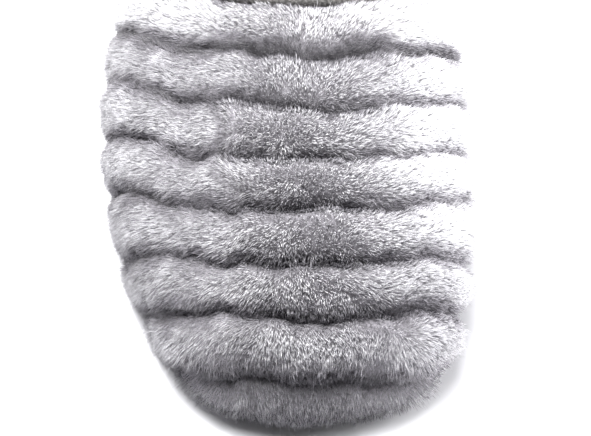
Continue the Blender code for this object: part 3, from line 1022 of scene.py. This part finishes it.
def pile_directions(ground):
    """Three directions all over the vamp: the way the pile stands, which is mostly the
    last's own and partly the ribs', the way to the toe along the surface, and the way
    round the foot towards its inner side.
    """
    grid = vamp_grid()
    toward_toe = np.gradient(ground, axis=0)
    inward = np.gradient(ground, axis=1)
    rise = unit(np.cross(toward_toe, inward))
    rise = np.where(np.sum(rise * grid["normal"], axis=-1, keepdims=True) < 0.0, -rise, rise)
    rise = unit(RIB_SLOPE_SHARE * rise + (1.0 - RIB_SLOPE_SHARE) * grid["normal"])
    toward_toe = unit(flattened(unit(np.gradient(grid["inner"], axis=0)), rise))
    return rise, toward_toe, unit(inward)


def pile_sites(number, ground, areas, strands, rng):
    """Places of one rib's strands, spread evenly by area, and what the pile's height,
    lean and tone are worked out from there.
    """
    first = number * GRID_STEPS
    band = areas[first:first + GRID_STEPS]
    count = int(round(strands * band.sum() / areas.sum()))
    row, column = scattered(band, count, rng)
    row = row + first
    root = at(ground, row, column)
    across = root[:, 0]
    rib = row / GRID_STEPS
    site = SimpleNamespace(number=number, count=count, row=row, column=column, root=root,
                           across=across, rib=rib, inside=rib - number)
    site.outer = 1.0 - ease(across, *OUTER_SIDE)
    site.calm = 1.0 - TOE_CALMER * ease(rib, *TOE_CALM)
    site.lock = (tuft_middle(root, *LOCKS)[1] - 0.5) * site.calm
    site.spread, site.near = parted(across, rib)
    site.loose = over_middle(across) * np.interp(rib, LOOSE_RIBS, LOOSE_SHARES)
    site.fine = tuft_middle(root, *FINE_TUFTS)[1]
    site.pit = site.loose * (1.0 - ease(site.fine, *PITS))
    return site


def pile_height(site, rng):
    """Length of each strand in mm. It follows the rib's round section, and differs by
    chance and by wide and small waves. It is more in wild strands and in full locks,
    and less in pits, just behind a groove and along the toe's hem.
    """
    roll, tuck = (at(vamp_grid()[name], site.row, site.column) for name in ("roll", "tuck"))
    height = (PILE_AT_GROOVE + (PILE_AT_CREST - PILE_AT_GROOVE) * roll) * tuck
    height *= chance(rng, site.count, *LENGTHS)
    waves = HEIGHT_WAVE * drift(site.root, *HEIGHT_WAVES)[:, 0]
    small = SMALL_HEIGHT_WAVE + OUTER_HEIGHT_WAVE * site.outer
    waves += small * drift(site.root, *SMALL_HEIGHT_WAVES)[:, 0]
    height *= 1.0 + site.calm * waves
    height *= 1.0 - HEM_SHORTER * ease(site.rib, *TOE_HEM)
    wild = rng.random(site.count) < WILD_SHARE + WILD_INNER * ease(site.across, *INNER_WILD)
    height = np.where(wild, height * WILD_LENGTH, height)
    height *= 1.0 + LOCK_RISE * site.lock
    height *= 1.0 - PIT_DEPTH * site.pit
    entry = (1.0 - ease(site.inside, *RIB_ENTRY)) * ease(site.across, *MIDDLE_START)
    return height * (1.0 - ENTRY_DROP[site.number] * entry)


def pile_lean(site, ground, toward_toe, inward, comb, rng):
    """Lean of each strand over its height: the comb tables and the partings, away from
    the middle of each whorl as a bell curve, astray in wide and small waves, over the
    groove in full locks, and by chance.
    """
    lean = toward_toe * (combed(site.across, site.rib, COMB_TOEWARD) * comb + site.spread[1])[:, None]
    lean += inward * (combed(site.across, site.rib, COMB_ACROSS) * comb + site.spread[0])[:, None]
    ring_numbers = vamp_grid()["rib"][:, 0]
    for place, rib, reach, strength in WHORLS:
        ring = ground[np.argmin(np.abs(ring_numbers - rib))]
        off = (site.root - ring[np.argmin(np.abs(ring[:, 0] - place))]) / reach
        lean += WHORL_PUSH * strength * off * np.exp(-np.sum(off**2, axis=1, keepdims=True))
    strays = STRAY * drift(site.root, *STRAY_WAVES)
    strays = strays + (SMALL_STRAY + OUTER_STRAY * site.outer)[:, None] * drift(site.root, *SMALL_STRAY_WAVES)
    lean += strays * (site.calm * (1.0 - LOOSE_STEADY * site.loose))[:, None]
    lean += toward_toe * (LOCK_LEAN * site.lock * ease(site.inside, *LOCK_OVERHANG))[:, None]
    lean += (LEAN_CHANCE - LOOSE_LEAN * site.loose)[:, None] * rng.normal(size=(site.count, 3))
    return lean


def pile_tone(site, tuft_tone, rng):
    """Tone number of each strand, from 0, the dark fibre, to 1, the light one.

    It is spread by chance about its mean, more so in loose pile, and darkened by painted
    shade in pits. Painted shade lowers it towards each groove, to the share that the groove
    keeps, by the share of light that the ribs let in: none in the groove, and all from
    SHADE_BEHIND to SHADE_AHEAD. Painted light and shade also change it by side and rib by rib.
    """
    inner = ease(site.across, *INNER_SIDE)
    spread = TONE_SPREAD + LOOSE_SPREAD * site.loose - INNER_SPREAD * inner
    spread += TOE_SPREAD * ease(site.rib, *TOE_LIVELY) - QUIET_SPREAD * ease(site.rib, *QUIET_RIBS)
    tone = TONE_MEAN + LOOSE_TONE * site.loose + INNER_PAINTED_LIGHT * inner
    tone += spread * (rng.random(site.count) - 0.5)
    tone += FINE_TONE * site.loose * (site.fine - 0.5)
    tone += TUFT_TONE * (tuft_tone - 0.5) + WAVE_TONE * drift(site.root, *TONE_WAVES)[:, 0]
    tone *= 1.0 - PIT_PAINTED_SHADE * site.pit

    # painted shade: the tone falls towards each groove, further next to the throat, and is lower in partings
    # and towards the toe's hem
    deep = (site.rib < DEEP_RIBS) * ease(site.across, *DEEP_SHADE)
    behind = SHADE_BEHIND[site.number] + OUTER_BEHIND * site.outer
    full = SHADE_FULL[site.number] + DEEP_FULL * deep
    ahead = SHADE_AHEAD[site.number] + DEEP_AHEAD * deep
    ahead = ahead - INNER_AHEAD * ease(site.across, *INNER_RIM)
    ahead = ahead - OUTER_AHEAD * (1.0 - ease(site.across, *OUTER_RIM))
    light = ease(site.inside + LOCK_LIGHT * site.lock, 0.0, behind) * ease(1.0 - site.inside, full, ahead)
    light *= (1.0 - PARTING_DARK * site.near) * (1.0 - TOE_DARK * ease(site.rib, *TOE_SHADE))
    # the share of tone kept in each groove's painted shade, with painted light on the inner side
    least = np.interp(site.rib, np.arange(RIB_COUNT + 1.0), GROOVE_PAINTED_SHADE)
    even = 1.0 - GROOVE_EVEN * ease(site.rib, *GROOVE_EVEN_RIBS)
    least = least + INNER_GROOVE_PAINTED_LIGHT * ease(site.across, *INNER_GROOVES) * even

    # painted shade on the outer side, and on the inner side towards the toe, turned into painted light on the
    # toe's rib
    tone *= 1.0 - OUTER_PAINTED_SHADE * site.outer * (1.0 - OUTER_EVEN * ease(site.rib, *OUTER_EVEN_RIBS))
    shaded = ease(site.rib, *INNER_SHADE_RIBS) * ease(site.across, *INNER_SHADE)
    tone *= 1.0 - INNER_PAINTED_SHADE * shaded * (1.0 - TOE_PAINTED_LIGHT * ease(site.rib, *TOE_LIT))
    # painted light or shade, rib by rib
    tone *= np.interp(site.rib, np.arange(RIB_COUNT + 1.0) - 0.5, RIB_PAINTED_LIGHT)
    return np.clip(tone * (least + (1.0 - least) * light), 0.0, 1.0)


class SlipperPileSettings(PropertyGroup):
    strands: IntProperty(name="Strands", description="Strands of pile on the whole vamp",
                         default=200000, min=1000, max=220000)
    strand_width: FloatProperty(name="Strand width", description="Width of a lock of fibres",
                                default=0.125 * MM, unit="LENGTH", precision=5)
    comb: FloatProperty(name="Comb", description="Strength of the pile's combing", default=1.0)
    tuft_size: FloatProperty(name="Tuft size", description="Size of the tufts that the pile gathers in",
                             default=4.6 * MM, unit="LENGTH", precision=4)
    tuft_pull: FloatProperty(name="Tuft pull",
                             description="Share of the way a tip moves to its tuft's middle",
                             default=0.1, min=0.0, max=1.0, subtype="FACTOR")
    # painted shade: the grooves' painted shade takes the strands' tone down towards this colour
    dark: FloatVectorProperty(name="Dark fibre", description="Colour of the strands deep in the grooves",
                              subtype="COLOR", default=linear("#444247"))
    shade: FloatVectorProperty(name="Shaded fibre", description="Colour of the darker strands in sight",
                               subtype="COLOR", default=linear("#918E95"))
    middle: FloatVectorProperty(name="Middle fibre", description="Colour of most strands",
                                subtype="COLOR", default=linear("#F1F0F4"))
    light: FloatVectorProperty(name="Light fibre", description="Colour of the lightest strands",
                               subtype="COLOR", default=linear("#FDFCFE"))


class SlipperTrimSettings(PropertyGroup):
    backing: FloatVectorProperty(name="Backing", description="Colour of the knitted backing",
                                 subtype="COLOR", default=linear("#959298"))
    lining: FloatVectorProperty(name="Lining", description="Colour of the lining",
                                subtype="COLOR", default=linear("#A6A3A9"))
    tape: FloatVectorProperty(name="Tape", description="Colour of the throat's tape",
                              subtype="COLOR", default=linear("#6A6867"))
    thread: FloatVectorProperty(name="Thread", description="Colour of the sewing thread",
                                subtype="COLOR", default=linear("#A19C99"))
    stitch_pitch: FloatProperty(name="Stitch pitch", description="Length of one stitch and its gap",
                                default=3.4 * MM, unit="LENGTH", precision=4)


class SlipperFootbedSettings(PropertyGroup):
    locks: IntProperty(name="Locks", description="Curled locks of fleece on the footbed",
                       default=12000, min=1000, max=20000)
    lock_width: FloatProperty(name="Lock width", description="Width of one lock",
                              default=0.85 * MM, unit="LENGTH", precision=5)
    lock_length: FloatProperty(name="Lock length", description="Height of the fleece",
                               default=2.4 * MM, unit="LENGTH", precision=4)
    voxel: FloatProperty(name="Pad mesh size",
                         description="Size of the footbed pad's faces before the last subdivision",
                         default=2.6 * MM, unit="LENGTH", precision=4)
    swell: FloatProperty(name="Pad swell", description="How far the pad's top may rise when it is filled",
                         default=1.6 * MM, unit="LENGTH", precision=4)
    base: FloatVectorProperty(name="Pad cover", description="Colour of the knit under the fleece",
                              subtype="COLOR", default=linear("#8C898F"))
    fleece: FloatVectorProperty(name="Fleece", description="Colour of the fleece",
                                subtype="COLOR", default=linear("#A7A4AA"))
    sole: FloatVectorProperty(name="Sole", description="Colour of the rubber sole",
                              subtype="COLOR", default=linear("#4B484D"))


class SlipperStageSettings(PropertyGroup):
    floor: FloatVectorProperty(name="Floor", description="Colour of the floor",
                               subtype="COLOR", default=linear("#D9D9DC"))
    key_power: FloatProperty(name="Key light", description="Power of the key light",
                             default=32.0, unit="POWER")
    side_power: FloatProperty(name="Side light", description="Power of the side light",
                              default=38.0, unit="POWER")
    overhead_power: FloatProperty(name="Overhead light", description="Power of the overhead light",
                                  default=62.0, unit="POWER")
    surround: FloatProperty(name="Surround", description="Strength of the pale surround", default=0.2)


class SLIPPER_OT_vamp_layers(Operator):
    """Make the lining and the knitted backing, which the pile stands on"""
    bl_idname = "slipper.vamp_layers"
    bl_label = "Make vamp layers"

    def execute(self, context):
        trim = context.scene.slipper_trim
        grid = vamp_grid()
        coarse = np.s_[::FOURTH, ::FOURTH]
        top = LINING_GAP + LINING_THICKNESS
        lower = lifted(LINING_GAP - LINING_SINK * (1.0 - grid["roll"]))[coarse]
        points, faces = closed_sheet(lower, lifted(top)[coarse])
        girth = grid["angle"][coarse].ravel() * GIRTH_RADIUS
        length = lower[..., 1].ravel()
        cloth = np.stack((np.tile(girth, 2), np.tile(length, 2)), axis=-1)[faces]
        lining = add_piece("vamp_lining", points, faces, lining_material(tuple(trim.lining)), cloth, "Cloth")
        half = np.s_[::SECOND, ::SECOND]
        points, faces = closed_sheet(lifted(top + BACKING_GAP)[half], lifted(backing_height())[half])
        # painted shade on the backing, kept in its own map: darker towards the grooves, in partings and over
        # the middle of the foot
        near = parted(points[:, 0], np.tile(grid["rib"][half].ravel(), 2))[1]
        open_to_light = np.tile(grid["roll"][half].ravel(), 2) * (1.0 - GROUND_IN_PARTING * near)
        open_to_light *= 1.0 - GROUND_IN_MIDDLE * over_middle(points[:, 0])
        painted_shade = np.stack((open_to_light, points[:, 1] * MM), axis=-1)[faces]
        material = backing_material("knitted_pile_backing", tuple(trim.backing), True)
        backing = add_piece("pile_backing", points, faces, material, painted_shade, "Depth")
        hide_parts("upper")
        return {"FINISHED"}


class SLIPPER_OT_pile(Operator):
    """Make the pile of the vamp, one piece for each rib"""
    bl_idname = "slipper.pile"
    bl_label = "Make pile"

    def execute(self, context):
        pile = context.scene.slipper_pile
        ground = lifted(backing_height())
        directions = pile_directions(ground)
        upright = ease(np.cos(vamp_grid()["angle"][1:, 1:]), *SIDE_SLOPES)
        areas = cell_areas(ground) * (SIDE_STRANDS + (1.0 - SIDE_STRANDS) * upright)
        colours = (tuple(colour) for colour in (pile.dark, pile.shade, pile.middle, pile.light))
        material = pile_material("acrylic_plush_pile", *colours, shaded_root_share=0.38, sheen=0.3)
        for number in range(RIB_COUNT):
            rng = np.random.default_rng(PILE_SEED + number)
            site = pile_sites(number, ground, areas, pile.strands, rng)
            normal, toward_toe, inward = (unit(at(values, site.row, site.column)) for values in directions)
            height = pile_height(site, rng)
            lean = pile_lean(site, ground, toward_toe, inward, pile.comb, rng)
            tip = site.root + unit(normal + flattened(lean, normal)) * (STRAND_REACH * height)[:, None]
            middle, tuft_tone = tuft_middle(tip, pile.tuft_size / MM, TUFT_SEED)
            tip = tip + flattened(middle - tip, normal) * pile.tuft_pull
            tip[:, 2] = np.maximum(tip[:, 2], FLOOR_CLEARANCE)
            site.root = site.root - ROOT_SUNK * normal
            tone = pile_tone(site, tuft_tone, rng)
            width = pile.strand_width / MM * chance(rng, site.count, *WIDTHS)
            width *= 1.0 + LOOSE_WIDER * site.loose + INNER_WIDER * ease(site.across, *INNER_THICK)
            points, faces, uv = strand_mesh(site.root, tip, normal, width, tone)
            piece = add_piece("pile_rib_%d" % number, points, faces, material, uv)
            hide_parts("upper")
        return {"FINISHED"}


def binding_path():
    """Middle line of the throat's tape and its two cross directions: off the throat
    edge by its radius and a gap, outwards and backwards. The steps off the edge are
    smoothed by many rounds of averaging with their neighbours.
    """
    angle = np.linspace(-pi / 2, pi / 2, PATH_POINTS)
    edge = last_point(0.0, angle)
    normal = last_normal(edge)
    along = np.gradient(edge, axis=0)
    away = unit(np.cross(along, normal))
    away *= np.sign(away[:, 1:2])
    step = normal * (BINDING_RADIUS + BINDING_GAP) + away * (BINDING_RADIUS + BINDING_EDGE_GAP)
    for _ in range(SMOOTHINGS):
        step[1:-1] = (step[:-2] + 2.0 * step[1:-1] + step[2:]) / 4.0
        step[0] = (step[0] + step[1]) / 2.0
        step[-1] = (step[-1] + step[-2]) / 2.0
    path = edge + step - (0.0, MIDDLE_STATION, 0.0)
    along = unit(np.gradient(path, axis=0))
    normal = unit(flattened(unit(step), along))
    return path, normal, np.cross(along, normal)


class SLIPPER_OT_throat_tape(Operator):
    """Make the corded twill tape round the throat"""
    bl_idname = "slipper.throat_tape"
    bl_label = "Make throat tape"

    def execute(self, context):
        trim = context.scene.slipper_trim
        path, normal, side = binding_path()
        length = np.concatenate(((0.0,), np.cumsum(np.linalg.norm(np.diff(path, axis=0), axis=1))))
        even = np.linspace(0.0, length[-1], TAPE_RINGS)
        path, normal, side = (resampled(even, length, values) for values in (path, normal, side))
        around = round_angles(TAPE_SIDES)
        slant = np.abs(np.mod(around / (pi / 2.0), 1.0) - 0.5) * HERRINGBONE_SLANT
        weave = np.sin(2.0 * pi * (even[:, None] / HERRINGBONE_PITCH + slant[None]))
        radius = (BINDING_RADIUS - TAPE_INSET + HERRINGBONE_DEPTH * weave)[..., None]
        rings = path[:, None] + radius * (normal[:, None] * np.cos(around)[None, :, None]
                                          + side[:, None] * np.sin(around)[None, :, None])
        points = np.concatenate((rings.reshape(-1, 3), path[:1], path[-1:]))
        faces = outward_faces(points, tube_faces(TAPE_RINGS, TAPE_SIDES))
        across = np.tile(around * BINDING_RADIUS, TAPE_RINGS)
        cloth = np.stack((np.repeat(even, TAPE_SIDES), across), axis=-1)
        cloth = np.concatenate((cloth, ((0.0, 0.0), (even[-1], 0.0))))
        tape = add_piece("throat_tape", points, faces, tape_material(tuple(trim.tape)), cloth[faces], "Cloth")
        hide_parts("throat_binding")

        # one row of stitches, sunk in the side of the tape that faces the heel
        count = int(length[-1] * MM / trim.stitch_pitch) - 1
        place = (np.arange(count) + 1.0) * trim.stitch_pitch / MM
        middle, out, aside = (resampled(place, even, values) for values in (path, normal, side))
        heelward = np.where(aside[:, 1:2] > 0.0, 1.0, -1.0) * aside
        out = unit(STITCH_TURNED * out + heelward)
        along = unit(np.gradient(middle, axis=0))
        points, faces = stitch_mesh(middle + out * (BINDING_RADIUS - STITCH_SUNK), along, out)
        stitches = add_piece("throat_stitches", points, faces, thread_material(tuple(trim.thread)))
        return {"FINISHED"}


class SLIPPER_OT_footbed(Operator):
    """Make the fleece footbed over the insole, and finish the sole"""
    bl_idname = "slipper.footbed"
    bl_label = "Make footbed"

    def execute(self, context):
        settings = context.scene.slipper_footbed
        pad = merged_copy(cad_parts["insole"], "footbed_pad")
        remesh = pad.modifiers.new("Even faces", "REMESH")
        remesh.mode = "VOXEL"
        remesh.voxel_size = settings.voxel
        made_solid(pad)
        smaller = places(pad.data) - PAD_SHRINK * places(pad.data, "normal")
        pad.data.vertices.foreach_set("co", (smaller * MM).ravel())
        pad.data.update()
        swollen(pad, PAD_PRESSURE, PAD_SIDE_SWELL, settings.swell / MM)
        finer = pad.modifiers.new("Finer", "SUBSURF")
        finer.levels = 1
        finer.render_levels = 1
        made_solid(pad)
        pad.data.shade_smooth()
        pad.data.materials.clear()
        pad.data.materials.append(backing_material("fleece_ground", tuple(settings.base)))
        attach(pad, "root")
        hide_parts("insole")

        # locks of fleece, on the pad's top only, spread evenly over its triangles
        rng = np.random.default_rng(FLEECE_SEED)
        pad.data.calc_loop_triangles()
        corners = np.empty(3 * len(pad.data.loop_triangles), dtype=np.int32)
        pad.data.loop_triangles.foreach_get("vertices", corners)
        corners = corners.reshape(-1, 3)
        points, normals = places(pad.data), places(pad.data, "normal")
        first, second, third = np.moveaxis(points[corners], 1, 0)
        area = np.linalg.norm(np.cross(second - first, third - first), axis=1)
        area *= (normals[corners][:, :, 2].min(axis=1) > FLEECE_UPWARD) * (first[:, 1] > FLEECE_FRONT)
        total = np.cumsum(area)
        wanted = (np.arange(settings.locks) + rng.random(settings.locks)) / settings.locks * total[-1]
        chosen = corners[np.minimum(np.searchsorted(total, wanted), len(corners) - 1)]
        share = rng.dirichlet((1.0, 1.0, 1.0), settings.locks)[..., None]
        root = np.sum(points[chosen] * share, axis=1)
        normal = unit(np.sum(normals[chosen] * share, axis=1))
        lean = FLEECE_CURL * drift(root, *FLEECE_CURL_WAVES) + FLEECE_LEAN * rng.normal(size=root.shape)
        length = settings.lock_length / MM * chance(rng, settings.locks, *FLEECE_LENGTHS)
        tip = root + unit(normal + flattened(lean, normal)) * length[:, None]
        width = settings.lock_width / MM * chance(rng, settings.locks, *FLEECE_WIDTHS)
        tone = chance(rng, settings.locks, *FLEECE_TONES)
        tone += FLEECE_TONE_WAVE * drift(root, *FLEECE_TONE_WAVES)[:, 0]
        root = root - FLEECE_SUNK * normal
        twist = rng.normal(size=root.shape)
        points, faces, uv = strand_mesh(root, tip, twist, width, np.clip(tone, 0.0, 1.0))
        colours = shares_of(tuple(settings.fleece), *FLEECE_SHADES)
        material = pile_material("sherpa_fleece", *colours, shaded_root_share=0.5, sheen=0.2)
        fleece = add_piece("footbed_fleece", points, faces, material, uv)

        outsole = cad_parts["outsole"]
        outsole.data.materials.clear()
        outsole.data.materials.append(sole_material(tuple(settings.sole)))
        return {"FINISHED"}


class SLIPPER_OT_stage(Operator):
    """Make the floor, the lights and the camera"""
    bl_idname = "slipper.stage"
    bl_label = "Make stage"

    def execute(self, context):
        stage = context.scene.slipper_stage
        material, _, shader = new_material("matt_studio_paper")
        shader.inputs["Base Color"].default_value = (*stage.floor, 1.0)
        shader.inputs["Roughness"].default_value = 0.9
        mesh = bpy.data.meshes.new("studio_floor")
        around = round_angles(FLOOR_CORNERS)
        rim = FLOOR_RADIUS * np.stack((np.cos(around), np.sin(around), 0.0 * around), axis=-1)
        mesh.from_pydata(rim.tolist(), [], [tuple(range(FLOOR_CORNERS))])
        mesh.materials.append(material)
        floor = bpy.data.objects.new("studio_floor", mesh)
        context.scene.collection.objects.link(floor)

        world = bpy.data.worlds.new("pale_surround")
        world.use_nodes = True
        background = world.node_tree.nodes["Background"]
        background.inputs["Color"].default_value = (1.0, 1.0, 1.0, 1.0)
        background.inputs["Strength"].default_value = stage.surround
        context.scene.world = world

        for name, setting, place, size in LIGHTS:
            light = bpy.data.lights.new(name, "AREA")
            light.shape = "DISK"
            light.size = size
            light.energy = getattr(stage, setting)
            lamp = bpy.data.objects.new(name, light)
            lamp.location = place
            lamp.rotation_euler = (-lamp.location).to_track_quat("-Z", "Y").to_euler()
            context.scene.collection.objects.link(lamp)

        camera = bpy.data.cameras.new("product_camera")
        camera.sensor_width = SENSOR_WIDTH
        camera.lens = LENS
        camera.clip_end = CAMERA_REACH
        eye = bpy.data.objects.new("product_camera", camera)
        raised = np.radians(CAMERA_RAISED)
        turned = np.radians(CAMERA_TURNED)
        level = np.cos(raised)
        ahead = np.array((-np.sin(turned) * level, np.cos(turned) * level, -np.sin(raised)))
        eye.location = np.array(AIM) - ahead * CAMERA_DISTANCE
        eye.rotation_euler = (pi / 2 - raised, 0.0, turned)
        context.scene.collection.objects.link(eye)
        context.scene.camera = eye
        context.scene.view_settings.view_transform = "Standard"
        return {"FINISHED"}


class SLIPPER_PT_panel(Panel):
    """Sizes and steps of the slipper"""
    bl_label = "Ribbed plush slipper"
    bl_idname = "SLIPPER_PT_panel"
    bl_space_type = "VIEW_3D"
    bl_region_type = "UI"
    bl_category = "Slipper"

    def draw(self, context):
        for group, steps in PANEL_ROWS:
            box = self.layout.box()
            settings = getattr(context.scene, group)
            for name in settings.__annotations__:
                box.prop(settings, name)
            for step in steps:
                box.operator(step.bl_idname)


SETTINGS = {
    "slipper_pile": SlipperPileSettings,
    "slipper_trim": SlipperTrimSettings,
    "slipper_footbed": SlipperFootbedSettings,
    "slipper_stage": SlipperStageSettings,
}
PANEL_ROWS = (
    ("slipper_trim", (SLIPPER_OT_vamp_layers, SLIPPER_OT_throat_tape)),
    ("slipper_pile", (SLIPPER_OT_pile,)),
    ("slipper_footbed", (SLIPPER_OT_footbed,)),
    ("slipper_stage", (SLIPPER_OT_stage,)),
)
CLASSES = (*SETTINGS.values(), SLIPPER_OT_vamp_layers, SLIPPER_OT_pile, SLIPPER_OT_throat_tape,
           SLIPPER_OT_footbed, SLIPPER_OT_stage, SLIPPER_PT_panel)


def register():
    for each in CLASSES:
        bpy.utils.register_class(each)
    for name, group in SETTINGS.items():
        setattr(bpy.types.Scene, name, PointerProperty(type=group))


def unregister():
    for name in SETTINGS:
        delattr(bpy.types.Scene, name)
    for each in reversed(CLASSES):
        bpy.utils.unregister_class(each)


def main():
    register()
    bpy.ops.slipper.vamp_layers()
    bpy.ops.slipper.pile()
    bpy.ops.slipper.throat_tape()
    bpy.ops.slipper.footbed()
    bpy.ops.slipper.stage()


if __name__ == "__main__":
    main()
